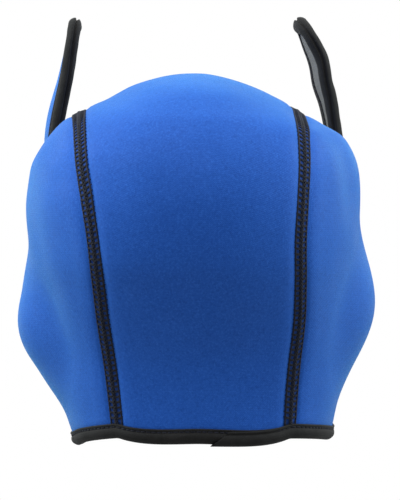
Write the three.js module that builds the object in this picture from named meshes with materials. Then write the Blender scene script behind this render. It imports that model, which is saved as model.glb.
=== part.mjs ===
// A neoprene hood as worn: an open-faced shell of three panels with two chin tabs turned up.
// Millimetres, +Z up, the face looks along -Y, and +X is the wearer's left.
// Heights in the tables are above the ear line, and the group is lowered so that the
// origin lies at the inner top of the crown, where the head bears.

import * as THREE from 'three';

// Driving sizes
const wall = 4;                // neoprene sheet
const boundWall = 3.2;         // the sheet where the tape pinches it
const crownHeight = 90;        // outer top of the crown above the ear line
const tapeThickness = 0.9;     // one layer of binding tape
const slotHalf = 2.5;          // half the space between the two layers of tape
const tapeCover = 5.9;         // how far the tape reaches in over the sheet
const edgeGap = 0.5;           // clearance between the sheet's edge and the fold of the tape
const seamGap = 0.4;           // clearance between two sheets at a seam
const rootEndGap = 2;          // how far the panels' tape stops short of a tab
const rootGap = 0.8;           // clearance between a tab and the panel that it is sewn to
const rearTapeStart = 24;      // where a tab's own tape starts on its rear edge, inside the bend
const frontTapeStart = 9;      // and on its front edge, past the tape of the panel
const pinchReach = 9;          // how far in from a bound edge the sheet has its full thickness
const squareness = 2.2;        // 2 is an ellipse, more is squarer

// Horizontal sections of the outer form: half-widths and depths from the axis at each height
const sections = [
  { height: 90, left: 0, right: 0, back: 0, front: 0 },
  { height: 88, left: 20, right: 13.5, back: 30, front: 30 },
  { height: 84, left: 32.8, right: 26, back: 47, front: 50 },
  { height: 80, left: 39.8, right: 35, back: 57.5, front: 61 },
  { height: 76, left: 46.6, right: 42.2, back: 65, front: 69 },
  { height: 72, left: 55.4, right: 49.2, back: 70.5, front: 75 },
  { height: 68, left: 64.2, right: 56, back: 75.5, front: 80 },
  { height: 64, left: 69.6, right: 63.4, back: 80, front: 84 },
  { height: 59, left: 74, right: 72, back: 84, front: 88 },
  { height: 53, left: 78, right: 76.3, back: 88, front: 91 },
  { height: 45, left: 82, right: 79.4, back: 92, front: 94 },
  { height: 36, left: 83.6, right: 80.7, back: 95, front: 95.5 },
  { height: 24, left: 84.8, right: 81.1, back: 96.8, front: 96 },
  { height: 10, left: 84, right: 80.9, back: 96, front: 96 },
  { height: -5, left: 82.2, right: 79.8, back: 92.5, front: 95 },
  { height: -20, left: 78.2, right: 78, back: 85.5, front: 93 },
  { height: -35, left: 75, right: 76, back: 77.5, front: 90 },
  { height: -50, left: 71.8, right: 74, back: 70.5, front: 86 },
  { height: -65, left: 69.4, right: 71.8, back: 66, front: 80 },
  { height: -80, left: 65, right: 68.6, back: 64, front: 74 },
  { height: -100, left: 58, right: 65, back: 64.5, front: 70 },
];

// Swells and hollows over the form, along its normal: side is +1 left, -1 right
const swellFade = { from: 20, to: 60 };    // how far from the middle plane they come in
const swells = [
  { name: 'left ear', side: 1, y: 4, height: -36, acrossY: 40, acrossZ: 46, rise: 14 },
  { name: 'right ear', side: -1, y: 4, height: -27, acrossY: 40, acrossZ: 48, rise: 11.2 },
  { name: 'right temple fold', side: -1, y: 44, height: 38, acrossY: 17, acrossZ: 40, rise: -1.4 },
  { name: 'left lobe hollow', side: 1, y: 42, height: -10, acrossY: 18, acrossZ: 48, rise: -1 },
];

// Half-widths of the centre panel: angle runs from the front level up over the crown
// to the back level at 180 and on down the nape
const seams = [
  { angle: 20, left: 54, right: 50 },
  { angle: 60, left: 57.5, right: 50 },
  { angle: 90, left: 58.5, right: 49.2 },
  { angle: 120, left: 57.2, right: 49.9 },
  { angle: 148, left: 54.6, right: 50.8 },
  { angle: 163, left: 51.3, right: 49.7 },
  { angle: 175, left: 48.6, right: 48.8 },
  { angle: 190, left: 46.4, right: 49 },
  { angle: 207, left: 44.2, right: 48.7 },
  { angle: 226, left: 40.5, right: 46.2 },
  { angle: 245, left: 36.5, right: 44 },
];

// Angles near the seams' ends, where their half-widths are read
const seamEndAngle = { brow: 35, nape: 240 };

// Edge heights of the centre panel, before the tape
const browHeight = { centre: 56, seam: 51 };
const napeHeight = { centre: -88.2, seam: -86.6 };

// The free edge of a side panel, seen from the side, from brow to nape
const cheekEdge = [
  { y: -63, height: 31 },
  { y: -54, height: 10 },
  { y: -46.5, height: -9 },
];
const earPlace = { y: 2, height: -20 };     // the middle of a side panel's mesh
const tabRootEdge = [
  { y: -42.5, height: -22 },
  { y: -40, height: -36 },
];
const jawEdge = {
  left: [
    { y: -37.5, height: -58 },
    { y: -35.5, height: -76 },
    { y: -27, height: -89.5 },
    { y: -12, height: -93.4 },
    { y: 12, height: -93.2 },
    { y: 34, height: -89.6 },
  ],
  right: [
    { y: -37.5, height: -58 },
    { y: -35.5, height: -74 },
    { y: -27, height: -86.5 },
    { y: -12, height: -90.2 },
    { y: 12, height: -90.2 },
    { y: 34, height: -88.2 },
  ],
};

// The chin tabs: middle line seen from the side, half-width, and across the head the place
// of the rear edge, how much further out the front edge is, and how far the middle bulges
const tabs = {
  left: [
    { y: -41, height: -33, half: 24, across: 67, toe: -8, bulge: 0 },
    { y: -60, height: -28, half: 21.5, across: 70, toe: -5, bulge: 1 },
    { y: -73.9, height: -14, half: 20, across: 73, toe: -2.5, bulge: 2 },
    { y: -79, height: 5, half: 19, across: 75.2, toe: -0.5, bulge: 3.2 },
    { y: -80, height: 27, half: 19, across: 76.4, toe: 1, bulge: 4.5 },
    { y: -79, height: 50, half: 19, across: 74.6, toe: 1.5, bulge: 4.5 },
    { y: -77, height: 75, half: 19, across: 70.8, toe: 1.7, bulge: 4.4 },
    { y: -75.5, height: 100, half: 19, across: 66.8, toe: 1.7, bulge: 1.5 },
    { y: -75, height: 124, half: 19, across: 62.6, toe: 1.7, bulge: 0 },
  ],
  right: [
    { y: -41, height: -33, half: 24, across: 67, toe: -8, bulge: 0 },
    { y: -60, height: -28, half: 21.5, across: 70, toe: -5, bulge: 1 },
    { y: -73.9, height: -14, half: 20, across: 73, toe: -2.5, bulge: 2 },
    { y: -79, height: 5, half: 19, across: 75.2, toe: -1.5, bulge: 2.4 },
    { y: -80, height: 27, half: 19, across: 76.4, toe: -1.5, bulge: 2.5 },
    { y: -79, height: 50, half: 19, across: 74.4, toe: -1.5, bulge: 2 },
    { y: -77, height: 75, half: 19, across: 71, toe: -1.7, bulge: 1.7 },
    { y: -75.5, height: 100, half: 19, across: 66.4, toe: -2.5, bulge: 0.5 },
    { y: -75, height: 124, half: 19, across: 52.6, toe: 1, bulge: 0 },
  ],
};
const tabCorner = 14;          // radius of the round corners at a tab's tip
const rootBlend = 80;          // length over which a tab leaves the form of the head

// Mesh steps
const seamSteps = 34;
const centreSteps = 12;
const edgeStep = 6.5;
const sideRings = [0.22, 0.44, 0.64, 0.82];
const bendRows = 15;
const straightRows = 11;
const tipRows = 7;
const bendPart = 0.36;         // the part of a tab's length that its bend takes
const tabColumns = 6;

// Finishes
const neopreneFinish = { color: 0x2a5fc4, roughness: 0.85, metalness: 0 };
const tapeFinish = { color: 0x16181a, roughness: 0.9, metalness: 0 };

const sides = [
  { name: 'left', sign: 1 },
  { name: 'right', sign: -1 },
];

// Smooth reading of one column of a table at a key, for rising or falling keys
function readTable(rows, keyName, column, key, power = 1) {
  const falling = rows[0][keyName] > rows[rows.length - 1][keyName];
  const sorted = falling ? [...rows].reverse() : rows;
  const keys = sorted.map((row) => row[keyName]);
  const values = sorted.map((row) => row[column] ** power);
  const last = keys.length - 1;
  const clamped = Math.min(Math.max(key, keys[0]), keys[last]);
  let i = 0;
  while (i < last - 1 && clamped > keys[i + 1]) i += 1;
  const span = keys[i + 1] - keys[i];
  const slope = (values[i + 1] - values[i]) / span;
  const before = i > 0 ? (values[i + 1] - values[i - 1]) / (keys[i + 1] - keys[i - 1]) : slope;
  const after = i + 2 <= last ? (values[i + 2] - values[i]) / (keys[i + 2] - keys[i]) : slope;
  const t = (clamped - keys[i]) / span;
  const value = values[i] * (1 + 2 * t) * (1 - t) ** 2
    + before * span * t * (1 - t) ** 2
    + values[i + 1] * t * t * (3 - 2 * t)
    + after * span * t * t * (t - 1);
  return Math.max(value, 0) ** (1 / power);
}

// Less than 1 inside the outer form, 1 on it
function formLevel(x, y, z) {
  if (z >= crownHeight) return 10;
  const width = readTable(sections, 'height', x > 0 ? 'left' : 'right', z, 2);
  const depth = readTable(sections, 'height', y > 0 ? 'back' : 'front', z, 2);
  if (width < 0.01 || depth < 0.01) return 10;
  return (Math.abs(x) / width) ** squareness + (Math.abs(y) / depth) ** squareness;
}

// The place between two lengths where a ray crosses the form
function crossForm(pointAt, far = 150) {
  let low = 0;
  let high = far;
  for (let step = 0; step < 36; step += 1) {
    const middle = (low + high) / 2;
    const p = pointAt(middle);
    if (formLevel(p.x, p.y, p.z) < 1) low = middle;
    else high = middle;
  }
  return pointAt((low + high) / 2);
}

function onFormByDirection(direction) {
  return crossForm((r) => direction.clone().multiplyScalar(r));
}

// A point of the form at a place across and an angle over the crown
function onFormByAngle(x, angle) {
  const turn = THREE.MathUtils.degToRad(angle);
  return crossForm((r) => new THREE.Vector3(x, -r * Math.cos(turn), r * Math.sin(turn)));
}

function onFormFromSide(sign, y, height) {
  return crossForm((r) => new THREE.Vector3(sign * r, y, height));
}

function onFormByHeight(x, height, sign) {
  return crossForm((r) => new THREE.Vector3(x, sign * r, height));
}

function angleOver(point) {
  const angle = THREE.MathUtils.radToDeg(Math.atan2(point.z, -point.y));
  return angle < 0 ? angle + 360 : angle;
}

function formNormal(p) {
  const step = 0.4;
  const slopeX = formLevel(p.x + step, p.y, p.z) - formLevel(p.x - step, p.y, p.z);
  const slopeY = formLevel(p.x, p.y + step, p.z) - formLevel(p.x, p.y - step, p.z);
  const above = Math.min(p.z + step, crownHeight - 0.05);
  const below = p.z - step;
  const rise = formLevel(p.x, p.y, above) - formLevel(p.x, p.y, below);
  const slopeZ = rise * (2 * step) / (above - below);
  const normal = new THREE.Vector3(slopeX, slopeY, slopeZ);
  if (Math.hypot(p.x, p.y) < 1.5) normal.set(0, 0, 1);
  return normal.normalize();
}

function swellAt(p) {
  let total = 0;
  for (const swell of swells) {
    const away = Math.hypot((p.y - swell.y) / swell.acrossY, (p.z - swell.height) / swell.acrossZ);
    const outward = THREE.MathUtils.smoothstep(p.x * swell.side, swellFade.from, swellFade.to);
    if (away < 1) total += swell.rise * outward * Math.cos(away * Math.PI / 2) ** 2;
  }
  return total;
}

// A station is a place on the sheet: its middle, the way out, and the sheet's thickness there
function stationOnForm(p, thickness = wall) {
  const normal = formNormal(p);
  const middle = p.clone().addScaledVector(normal, swellAt(p) - wall / 2);
  return { middle, normal, thickness };
}

function seamHalf(name, angle) {
  return readTable(seams, 'angle', name, angle);
}

// The two ends of the seam on one side, as angles over the crown
function seamEnds(side) {
  const frontX = side.sign * seamHalf(side.name, seamEndAngle.brow);
  const backX = side.sign * seamHalf(side.name, seamEndAngle.nape);
  const front = angleOver(onFormByHeight(frontX, browHeight.seam, -1));
  const back = angleOver(onFormByHeight(backX, napeHeight.seam, 1));
  return { front, back };
}

// A point of the seam, moved away from it by a shift towards the wearer's left
function seamPoint(side, part, shift) {
  const ends = seamEnds(side);
  const angle = THREE.MathUtils.lerp(ends.front, ends.back, part);
  return onFormByAngle(side.sign * seamHalf(side.name, angle) + shift, angle);
}

// Closed sheets and tapes
function meshFromIndexed(points, faces) {
  const geometry = new THREE.BufferGeometry();
  const places = points.flatMap((p) => [p.x, p.y, p.z]);
  geometry.setAttribute('position', new THREE.Float32BufferAttribute(places, 3));
  geometry.setIndex(faces);
  geometry.computeVertexNormals();
  return geometry;
}

function outerFace(station) {
  return station.middle.clone().addScaledVector(station.normal, station.thickness / 2);
}

function innerFace(station) {
  return station.middle.clone().addScaledVector(station.normal, -station.thickness / 2);
}

// A sheet from stations, triangles over them seen from outside, and the border loop in order
function thickSheet(stations, triangles, border) {
  const count = stations.length;
  const points = [...stations.map(outerFace), ...stations.map(innerFace)];
  const faces = [];
  for (const [a, b, c] of triangles) {
    faces.push(a, b, c);
    faces.push(a + count, c + count, b + count);
  }
  border.forEach((a, i) => {
    const b = border[(i + 1) % border.length];
    faces.push(a, a + count, b);
    faces.push(b, a + count, b + count);
  });
  return meshFromIndexed(points, faces);
}

// A sheet from a grid of stations in rows and columns
function gridSheet(rows) {
  const width = rows[0].length;
  const height = rows.length;
  const triangles = [];
  for (let r = 0; r < height - 1; r += 1) {
    for (let c = 0; c < width - 1; c += 1) {
      const a = r * width + c;
      const corners = [a, a + 1, a + width + 1, a + width];
      triangles.push([corners[0], corners[1], corners[2]]);
      triangles.push([corners[0], corners[2], corners[3]]);
    }
  }
  const border = [];
  for (let c = 0; c < width - 1; c += 1) border.push(c);
  for (let r = 0; r < height - 1; r += 1) border.push(r * width + width - 1);
  for (let c = width - 1; c > 0; c -= 1) border.push((height - 1) * width + c);
  for (let r = height - 1; r > 0; r -= 1) border.push(r * width);
  return outwardFacing(thickSheet(rows.flat(), triangles, border));
}

// Folded tape over the edge through the stations; inward points from the edge into the sheet
function foldedTape(stations) {
  const half = slotHalf + tapeThickness;
  const fold = -edgeGap - tapeThickness;
  const profile = [
    [tapeCover, half],
    [fold + tapeThickness, half],
    [fold, half - tapeThickness],
    [fold, tapeThickness - half],
    [fold + tapeThickness, -half],
    [tapeCover, -half],
    [tapeCover, -slotHalf],
    [-edgeGap, -slotHalf],
    [-edgeGap, slotHalf],
    [tapeCover, slotHalf],
  ];
  const points = [];
  for (const station of stations) {
    for (const [inward, out] of profile) {
      points.push(station.middle.clone()
        .addScaledVector(station.inward, inward)
        .addScaledVector(station.normal, out));
    }
  }
  const around = profile.length;
  const faces = [];
  for (let s = 0; s < stations.length - 1; s += 1) {
    for (let k = 0; k < around; k += 1) {
      const a = s * around + k;
      const b = s * around + (k + 1) % around;
      faces.push(a, b, a + around);
      faces.push(b, b + around, a + around);
    }
  }
  const caps = THREE.ShapeUtils.triangulateShape(profile.map(([x, y]) => new THREE.Vector2(x, y)), []);
  const clockwise = THREE.ShapeUtils.isClockWise(profile.map(([x, y]) => new THREE.Vector2(x, y)));
  const last = (stations.length - 1) * around;
  for (const [a, b, c] of caps) {
    if (clockwise) {
      faces.push(a, b, c);
      faces.push(last + a, last + c, last + b);
    } else {
      faces.push(a, c, b);
      faces.push(last + a, last + b, last + c);
    }
  }
  return outwardFacing(meshFromIndexed(points, faces));
}

// Turns the faces over where the enclosed volume comes out negative
function outwardFacing(geometry) {
  const p = geometry.getAttribute('position');
  const index = geometry.getIndex();
  let volume = 0;
  const corner = [new THREE.Vector3(), new THREE.Vector3(), new THREE.Vector3()];
  for (let i = 0; i < index.count; i += 3) {
    corner.forEach((v, k) => v.fromBufferAttribute(p, index.getX(i + k)));
    volume += corner[0].dot(corner[1].clone().cross(corner[2]));
  }
  if (volume < 0) {
    for (let i = 0; i < index.count; i += 3) {
      const kept = index.getX(i + 1);
      index.setX(i + 1, index.getX(i + 2));
      index.setX(i + 2, kept);
    }
    geometry.computeVertexNormals();
  }
  return geometry;
}

// Gives each station of an open edge its inward direction, along the chord to a place
// further in, because the sheet curves away from its edge
function withInward(stations, turn, insideOf) {
  return stations.map((station, i) => {
    const along = alongEdge(stations, i);
    const across = station.normal.clone().cross(along).multiplyScalar(turn).normalize();
    const chord = insideOf(station, across).sub(station.middle);
    const inward = chord.addScaledVector(along, -chord.dot(along)).normalize();
    const normal = along.clone().cross(inward).multiplyScalar(turn);
    return { middle: station.middle, normal, inward };
  });
}

// The middle of the sheet further in from an edge on the head's form
function insideForm(station, across) {
  const inside = station.middle.clone().addScaledVector(across, pinchReach);
  return stationOnForm(onFormByDirection(inside.normalize())).middle;
}

function alongEdge(stations, i) {
  const before = stations[Math.max(i - 1, 0)].middle;
  const after = stations[Math.min(i + 1, stations.length - 1)].middle;
  return after.clone().sub(before).normalize();
}

// Cuts a length off the start of a run of stations, and another off its end
function trimEnds(stations, atStart, atEnd) {
  return trimStart(trimStart(stations, atStart).reverse(), atEnd).reverse();
}

function trimStart(stations, length) {
  let left = length;
  let i = 0;
  let span = stations[1].middle.distanceTo(stations[0].middle);
  while (left > span) {
    left -= span;
    i += 1;
    span = stations[i + 1].middle.distanceTo(stations[i].middle);
  }
  const from = stations[i];
  const to = stations[i + 1];
  const mix = (name) => from[name].clone().lerp(to[name], left / span);
  const cut = { middle: mix('middle'), normal: mix('normal').normalize(), inward: mix('inward').normalize() };
  return [cut, ...stations.slice(i + 1)];
}

// The free edge of a side panel in three runs: cheek, tab root, and jaw with hem
function sideEdge(side) {
  const corner = seamPoint(side, 0, side.sign * seamGap / 2);
  const nape = seamPoint(side, 1, side.sign * seamGap / 2);
  const between = [...cheekEdge, ...tabRootEdge, ...jawEdge[side.name]];
  const route = [
    new THREE.Vector2(corner.y, corner.z),
    ...between.map((row) => new THREE.Vector2(row.y, row.height)),
    new THREE.Vector2(nape.y, nape.z),
  ];
  const curve = new THREE.SplineCurve(route);
  const knots = route.length - 1;
  const cuts = [0, cheekEdge.length, cheekEdge.length + tabRootEdge.length + 1, knots].map((k) => k / knots);
  const runs = [];
  for (let run = 0; run < 3; run += 1) {
    const fine = [];
    const fineSteps = 200;
    for (let i = 0; i <= fineSteps; i += 1) {
      const flat = curve.getPoint(THREE.MathUtils.lerp(cuts[run], cuts[run + 1], i / fineSteps));
      fine.push(onFormFromSide(side.sign, flat.x, flat.y));
    }
    runs.push(evenly(fine, edgeStep));
  }
  runs[0][0].copy(corner);
  runs[2][runs[2].length - 1].copy(nape);
  return { cheek: runs[0], root: runs[1], jaw: runs[2] };
}

// Points spaced evenly along a fine run of points
function evenly(fine, step) {
  const lengths = [0];
  for (let i = 1; i < fine.length; i += 1) lengths.push(lengths[i - 1] + fine[i].distanceTo(fine[i - 1]));
  const total = lengths[lengths.length - 1];
  const count = Math.max(2, Math.round(total / step));
  const points = [];
  let k = 0;
  for (let i = 0; i <= count; i += 1) {
    const want = total * i / count;
    while (k < fine.length - 2 && lengths[k + 1] < want) k += 1;
    const part = (want - lengths[k]) / (lengths[k + 1] - lengths[k]);
    points.push(fine[k].clone().lerp(fine[k + 1], part));
  }
  return points;
}

// A side panel is a disc of rings round the ear, out to its border
function sidePanel(side) {
  const edge = sideEdge(side);
  const seam = [];
  for (let i = seamSteps; i >= 0; i -= 1) seam.push(seamPoint(side, i / seamSteps, side.sign * seamGap / 2));
  const bound = [...edge.cheek, ...edge.root.slice(1), ...edge.jaw.slice(1)];
  const border = [...bound, ...seam.slice(1, -1)];
  const ear = onFormFromSide(side.sign, earPlace.y, earPlace.height);
  const stations = [stationOnForm(ear)];
  const spokes = border.length;
  for (const ring of sideRings) {
    border.forEach((p) => {
      const direction = ear.clone().normalize().lerp(p.clone().normalize(), ring).normalize();
      stations.push(stationOnForm(onFormByDirection(direction)));
    });
  }
  const rim = border.map((p, i) => stationOnForm(p, i < bound.length ? boundWall : wall));
  // The last ring before the rim lies on the same spokes, so that it can't cross itself at a corner
  border.forEach((p) => {
    const lastRing = sideRings[sideRings.length - 1];
    const ring = Math.max(1 - pinchReach / p.distanceTo(ear), (1 + lastRing) / 2);
    const direction = ear.clone().normalize().lerp(p.clone().normalize(), ring).normalize();
    stations.push(stationOnForm(onFormByDirection(direction)));
  });
  stations.push(...rim);
  const triangles = [];
  const rings = sideRings.length + 2;
  for (let i = 0; i < spokes; i += 1) {
    const j = (i + 1) % spokes;
    triangles.push([0, 1 + i, 1 + j]);
    for (let r = 0; r < rings - 1; r += 1) {
      const a = 1 + r * spokes + i;
      const b = 1 + r * spokes + j;
      triangles.push([a, a + spokes, b + spokes]);
      triangles.push([a, b + spokes, b]);
    }
  }
  const last = 1 + (rings - 1) * spokes;
  const loop = border.map((p, i) => last + i);
  if (side.sign < 0) {
    triangles.forEach((t) => t.reverse());
    loop.reverse();
  }
  return outwardFacing(thickSheet(stations, triangles, loop));
}

function centrePoint(row, column) {
  const across = column / centreSteps;
  const along = row / seamSteps;
  const ends = sides.map(seamEnds);
  const angleAt = (end) => THREE.MathUtils.lerp(ends[1][end], ends[0][end], across);
  const dip = 4 * across * (1 - across);
  const frontMiddle = angleOver(onFormByHeight(0, browHeight.centre, -1));
  const backMiddle = angleOver(onFormByHeight(0, napeHeight.centre, 1));
  const front = angleAt('front') + dip * (frontMiddle - (ends[0].front + ends[1].front) / 2);
  const back = angleAt('back') + dip * (backMiddle - (ends[0].back + ends[1].back) / 2);
  const angle = THREE.MathUtils.lerp(front, back, along);
  const leftX = seamHalf('left', angle) - seamGap / 2;
  const rightX = -seamHalf('right', angle) + seamGap / 2;
  return onFormByAngle(THREE.MathUtils.lerp(rightX, leftX, across), angle);
}

function centreRows() {
  const rows = [];
  for (let r = 0; r <= seamSteps; r += 1) {
    const row = [];
    const thickness = r === 0 || r === seamSteps ? boundWall : wall;
    for (let c = 0; c <= centreSteps; c += 1) row.push(stationOnForm(centrePoint(r, c), thickness));
    rows.push(row);
  }
  return rows;
}

// A tab's stations: rows from root to tip, columns from its front edge to its rear edge
function tabRows(side, root) {
  const table = tabs[side.name].map((row, i, rows) => ({ ...row, place: i / (rows.length - 1) }));
  const middleLine = new THREE.SplineCurve(table.map((row) => new THREE.Vector2(row.y, row.height)));
  const length = middleLine.getLength();
  const flatTab = (place, v) => {
    const read = (column) => readSigned(table, column, place);
    const along = middleLine.getTangent(place);
    const rearward = new THREE.Vector2(along.y, -along.x);
    const flat = middleLine.getPoint(place).addScaledVector(rearward, v * read('half'));
    const across = read('across') + read('toe') * (1 - v) / 2 + read('bulge') * (1 - v * v);
    return new THREE.Vector3(side.sign * across, flat.x, flat.y);
  };
  const rootLine = [];
  for (let c = 0; c <= tabColumns; c += 1) {
    const place = (root.length - 1) * (1 - c / tabColumns);
    const k = Math.min(Math.floor(place), root.length - 2);
    rootLine.push(stationOnForm(root[k].clone().lerp(root[k + 1], place - k)));
  }
  const rootShift = rootLine.map((station, c) => {
    const v = 2 * c / tabColumns - 1;
    return station.middle.clone().sub(flatTab(0, v));
  });
  const shiftAt = (v) => {
    const column = THREE.MathUtils.clamp((v + 1) / 2 * tabColumns, 0, tabColumns);
    const c = Math.min(Math.floor(column), tabColumns - 1);
    return rootShift[c].clone().lerp(rootShift[c + 1], column - c);
  };
  const pointAt = (place, v) => {
    const blend = THREE.MathUtils.smootherstep(place * length, 0, rootBlend);
    return flatTab(place, v).addScaledVector(shiftAt(v), 1 - blend);
  };
  const rows = [];
  const places = tabPlaces(length);
  places.forEach((place, r) => {
    const half = readSigned(table, 'half', place);
    const round = Math.max(tabCorner - (1 - place) * length, 0);
    const reach = (half - tabCorner + Math.sqrt(tabCorner ** 2 - round ** 2)) / half;
    const row = [];
    for (let c = 0; c <= tabColumns; c += 1) {
      const v = reach * (2 * c / tabColumns - 1);
      const middle = pointAt(place, v);
      if (r === 0) middle.y -= rootGap;
      const bound = r > 0 && (c === 0 || c === tabColumns || r === places.length - 1);
      const normal = r === 0 ? rootLine[c].normal : sheetNormal(pointAt, place, v, side.sign);
      const cornerRow = 1 - tabCorner / length;
      const past = Math.max(place - cornerRow, 0);
      const cornerV = Math.sign(v) * Math.min(Math.abs(v), 1 - tabCorner / half);
      const inside = pointAt(place - past / 2, (v + cornerV) / 2);
      row.push({ middle, normal, thickness: bound ? boundWall : wall, inside });
    }
    rows.push(row);
  });
  return rows;
}

function sheetNormal(pointAt, place, v, sign) {
  const step = 0.01;
  const up = pointAt(Math.min(place + step, 1), v).sub(pointAt(place - step, v));
  const back = pointAt(place, v + step).sub(pointAt(place, v - step));
  return back.cross(up).multiplyScalar(sign).normalize();
}

// The rows' places along a tab, close together round the bend and at the round tip
function tabPlaces(length) {
  const tip = 1 - tabCorner / length;
  const places = [];
  for (let r = 0; r < bendRows; r += 1) places.push(bendPart * r / bendRows);
  for (let r = 0; r < straightRows; r += 1) {
    places.push(THREE.MathUtils.lerp(bendPart, tip, r / straightRows));
  }
  for (let r = 0; r <= tipRows; r += 1) {
    places.push(tip + (1 - tip) * Math.sin(r / tipRows * Math.PI / 2));
  }
  return places;
}

// As readTable, for columns that may be below zero
function readSigned(rows, column, place) {
  const lift = 100;
  const lifted = rows.map((row) => ({ place: row.place, value: row[column] + lift }));
  return readTable(lifted, 'place', 'value', place) - lift;
}

function tabEdge(rows) {
  const last = rows.length - 1;
  const rear = rows.map((row) => row[tabColumns]);
  const tip = rows[last].slice(1, tabColumns).reverse();
  const front = rows.map((row) => row[0]).reverse();
  return [...rear, ...tip, ...front];
}

function node(name, geometry, finish) {
  const mesh = new THREE.Mesh(geometry, new THREE.MeshStandardMaterial(finish));
  mesh.name = name;
  return mesh;
}

// Assembly
const hood = new THREE.Group();
const centre = centreRows();
hood.add(node('centre_panel', gridSheet(centre), neopreneFinish));

const edges = sides.map(sideEdge);
const boundStations = (points) => points.map((p) => stationOnForm(p, boundWall));
sides.forEach((side, i) => {
  hood.add(node(`side_panel_${side.name}`, sidePanel(side), neopreneFinish));
  const rows = tabRows(side, edges[i].root);
  hood.add(node(`chin_tab_${side.name}`, gridSheet(rows), neopreneFinish));
  const tape = withInward(tabEdge(rows), side.sign, (station) => station.inside.clone());
  const trimmed = trimEnds(tape, rearTapeStart, frontTapeStart);
  hood.add(node(`tab_binding_${side.name}`, foldedTape(trimmed), tapeFinish));
});

const browAcross = [...centre[0]].reverse();
const brow = [
  ...boundStations([...edges[0].cheek].reverse()),
  ...browAcross.slice(1, -1),
  ...boundStations(edges[1].cheek),
];
const browTape = trimEnds(withInward(brow, -1, insideForm), rootEndGap, rootEndGap);
hood.add(node('brow_binding', foldedTape(browTape), tapeFinish));

const hemAcross = [...centre[seamSteps]].reverse();
const hem = [
  ...boundStations(edges[0].jaw),
  ...hemAcross.slice(1, -1),
  ...boundStations([...edges[1].jaw].reverse()),
];
const hemTape = trimEnds(withInward(hem, 1, insideForm), rootEndGap, rootEndGap);
hood.add(node('hem_binding', foldedTape(hemTape), tapeFinish));

hood.position.z = wall - crownHeight;

export default hood;
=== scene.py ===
# A neoprene hood as worn: three panels, black flatlock seams, taped edges, two chin tabs.
# Sizes are in millimetres above the ear line until to_frame() turns them into metres.

import math

import bmesh
import bpy
import numpy as np
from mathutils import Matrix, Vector
from mathutils.bvhtree import BVHTree


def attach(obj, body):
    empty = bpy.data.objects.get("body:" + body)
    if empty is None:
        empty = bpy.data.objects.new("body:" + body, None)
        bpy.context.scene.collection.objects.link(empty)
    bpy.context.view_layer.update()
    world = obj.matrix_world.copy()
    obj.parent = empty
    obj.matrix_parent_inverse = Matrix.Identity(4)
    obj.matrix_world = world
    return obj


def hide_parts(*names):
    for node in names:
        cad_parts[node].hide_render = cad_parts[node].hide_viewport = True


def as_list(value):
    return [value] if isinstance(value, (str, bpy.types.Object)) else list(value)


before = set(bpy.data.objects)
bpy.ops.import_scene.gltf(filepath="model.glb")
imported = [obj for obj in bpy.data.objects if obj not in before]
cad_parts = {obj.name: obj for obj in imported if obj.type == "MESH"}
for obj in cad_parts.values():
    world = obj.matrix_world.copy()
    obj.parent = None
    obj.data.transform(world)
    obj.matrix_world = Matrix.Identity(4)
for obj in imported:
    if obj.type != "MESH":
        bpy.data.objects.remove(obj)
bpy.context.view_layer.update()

rng = np.random.default_rng(7)

# Driving sizes, the same as the solids'
WALL = 4.0
CROWN_HEIGHT = 90.0
SQUARENESS = 2.2
TAB_CORNER = 14.0
ROOT_BLEND = 80
# From one stitch to the next, in the seams and along the tapes
STITCH_PITCH = 2.6

# Horizontal sections of the outer form: height, left, right, back, front
SECTIONS = np.array([
    (90, 0, 0, 0, 0),
    (88, 20, 13.5, 30, 30),
    (84, 32.8, 26, 47, 50),
    (80, 39.8, 35, 57.5, 61),
    (76, 46.6, 42.2, 65, 69),
    (72, 55.4, 49.2, 70.5, 75),
    (68, 64.2, 56, 75.5, 80),
    (64, 69.6, 63.4, 80, 84),
    (59, 74, 72, 84, 88),
    (53, 78, 76.3, 88, 91),
    (45, 82, 79.4, 92, 94),
    (36, 83.6, 80.7, 95, 95.5),
    (24, 84.8, 81.1, 96.8, 96),
    (10, 84, 80.9, 96, 96),
    (-5, 82.2, 79.8, 92.5, 95),
    (-20, 78.2, 78, 85.5, 93),
    (-35, 75, 76, 77.5, 90),
    (-50, 71.8, 74, 70.5, 86),
    (-65, 69.4, 71.8, 66, 80),
    (-80, 65, 68.6, 64, 74),
    (-100, 58, 65, 64.5, 70),
], float)

# Swells and hollows along the form's normal: side, y, height, reach in y, reach in height, rise
SWELLS = [
    (1, 4, -36, 40, 46, 14),
    (-1, 4, -27, 40, 48, 11.2),
    (-1, 44, 38, 17, 40, -1.4),
    (1, 42, -10, 18, 48, -1),
]

# Half-widths of the centre panel by the angle over the crown: angle, left, right
SEAMS = np.array([
    (20, 54, 50),
    (60, 57.5, 50),
    (90, 58.5, 49.2),
    (120, 57.2, 49.9),
    (148, 54.6, 50.8),
    (163, 51.3, 49.7),
    (175, 48.6, 48.8),
    (190, 46.4, 49),
    (207, 44.2, 48.7),
    (226, 40.5, 46.2),
    (245, 36.5, 44),
], float)

BROW_CENTRE, BROW_SEAM = 56.0, 51.0
NAPE_CENTRE, NAPE_SEAM = -88.2, -86.6

# The free edge of a side panel seen from the side, as y and height
CHEEK_EDGE = [(-63, 31), (-54, 10), (-46.5, -9)]
TAB_ROOT_EDGE = [(-42.5, -22), (-40, -36)]
JAW_EDGE = {
    "left": [(-37.5, -58), (-35.5, -76), (-27, -89.5), (-12, -93.4), (12, -93.2), (34, -89.6)],
    "right": [(-37.5, -58), (-35.5, -74), (-27, -86.5), (-12, -90.2), (12, -90.2), (34, -88.2)],
}

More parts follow.
